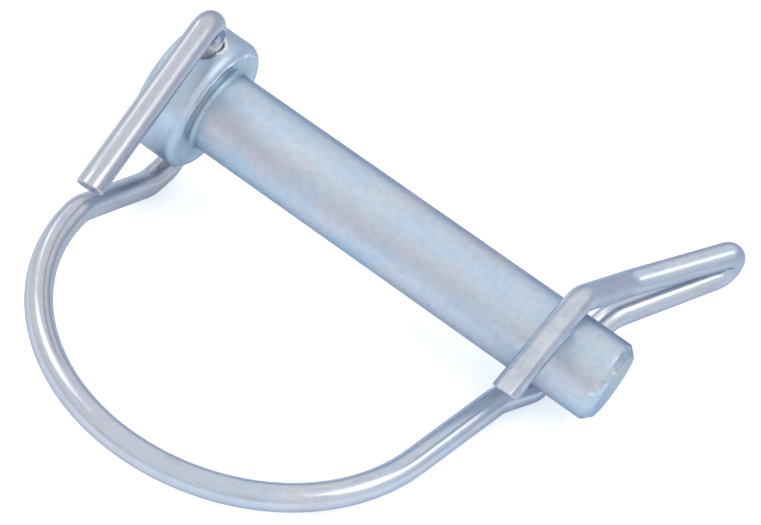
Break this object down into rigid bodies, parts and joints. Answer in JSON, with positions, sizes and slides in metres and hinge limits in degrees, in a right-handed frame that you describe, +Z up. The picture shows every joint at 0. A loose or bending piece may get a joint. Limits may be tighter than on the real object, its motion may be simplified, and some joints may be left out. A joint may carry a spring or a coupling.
{
  "type": "wire lock pin",
  "caption": "Headed steel pin with a round spring wire that swings in a cross-hole in the head, runs round in a wide loop and clips over the shank near its tip.",
  "frame": {"origin": "on the pin's axis, in the plane of the head's underside", "axes": "+Z up as the part lies on a table; +X from the head towards the tip, 5.7 degrees above the pin's axis, which dips towards the tip; the wire's loop lies towards -Y"},
  "size_m": [0.0618, 0.0681, 0.0265],
  "materials": {
    "pin_zinc": "bright zinc plate, bluish, satin",
    "wire_zinc": "bright zinc plate on drawn spring wire"
  },
  "bodies": {
    "pin": {"pin": "pin_zinc"},
    "lock_wire": {"lock_wire": "wire_zinc"}
  },
  "joints": [
    {"name": "wire_swing", "type": "hinge", "parent": "pin", "child": "lock_wire", "pos_m": [-0.00343, 0, 0.00035], "axis": [0.1001, 0, 0.995], "range_deg": [0, 325]}
  ]
}
